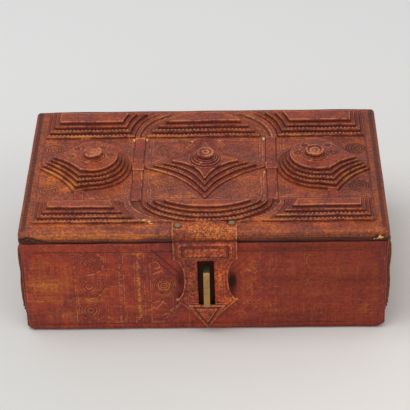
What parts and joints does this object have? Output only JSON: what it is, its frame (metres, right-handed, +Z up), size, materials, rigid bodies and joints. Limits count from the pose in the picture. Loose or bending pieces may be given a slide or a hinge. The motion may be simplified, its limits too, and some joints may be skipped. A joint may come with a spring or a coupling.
{
  "type": "leather box",
  "caption": "Rectangular leather-covered wooden box with a hinged lid in stepped leather relief, closed by a slotted leather hasp over a brass staple.",
  "frame": {"origin": "on the ground under the middle of the case", "axes": "+Z up, +X to the right as seen from the hasp side, +Y towards the hinge"},
  "size_m": [0.3058, 0.2029, 0.1197],
  "materials": {
    "wood": "plain planed softwood",
    "case_leather": "tooled red-brown leather, worn ochre in places",
    "base_leather": "plain dark leather",
    "lid_leather": "tooled red-brown leather, rubbed ochre at the edges",
    "relief_leather": "built-up stepped leather, purple-brown, rubbed ochre",
    "hinge_leather": "plain leather",
    "hasp_leather": "tooled leather worn orange",
    "lining": "thin matt skiver leather",
    "brass": "dull old brass",
    "nail_brass": "brass gone green"
  },
  "bodies": {
    "case": {"bottom_board": "wood", "front_board": "wood", "back_board": "wood", "left_board": "wood", "right_board": "wood", "case_cover": "case_leather", "base_cover": "base_leather", "case_lining": "lining", "left_end_panel": "case_leather", "right_end_panel": "case_leather", "staple": "brass", "hinge_lower_leaf": "hinge_leather"},
    "lid": {"hinge_upper_leaf": "hinge_leather", "lid_board": "wood", "lid_cover": "lid_leather", "lid_lining": "lining", "front_left_cartouche": "relief_leather", "front_centre_cartouche": "relief_leather", "front_right_cartouche": "relief_leather", "back_left_cartouche": "relief_leather", "back_centre_cartouche": "relief_leather", "back_right_cartouche": "relief_leather", "centre_star": "relief_leather", "star_drum": "relief_leather", "star_knob": "relief_leather", "left_boss": "relief_leather", "left_boss_drum": "relief_leather", "left_boss_knob": "relief_leather", "right_boss": "relief_leather", "right_boss_drum": "relief_leather", "right_boss_knob": "relief_leather", "left_strap": "relief_leather", "right_strap": "relief_leather", "left_bridge": "relief_leather", "right_bridge": "relief_leather", "left_boss_front_strap": "relief_leather", "left_boss_back_strap": "relief_leather", "right_boss_front_strap": "relief_leather", "right_boss_back_strap": "relief_leather", "hasp_leaf": "hasp_leather", "left_hasp_nail": "nail_brass", "right_hasp_nail": "nail_brass"},
    "hasp": {"hasp_flap": "hasp_leather", "hasp_frame": "hasp_leather", "hasp_panel": "hasp_leather", "hasp_tip_frame": "hasp_leather", "hasp_tip_panel": "hasp_leather"}
  },
  "joints": [
    {"name": "lid_hinge", "type": "hinge", "parent": "case", "child": "lid", "pos_m": [0, 0.0975, 0.08915], "axis": [-1, 0, 0], "range_deg": [0, 180], "deforming": ["hasp_flap", "hasp_tip_frame", "hasp_tip_panel"]},
    {"name": "hasp_fold", "type": "hinge", "parent": "lid", "child": "hasp", "pos_m": [0.0008, -0.0998, 0.0934], "axis": [-1, 0, 0], "range_deg": [0, 150]}
  ]
}
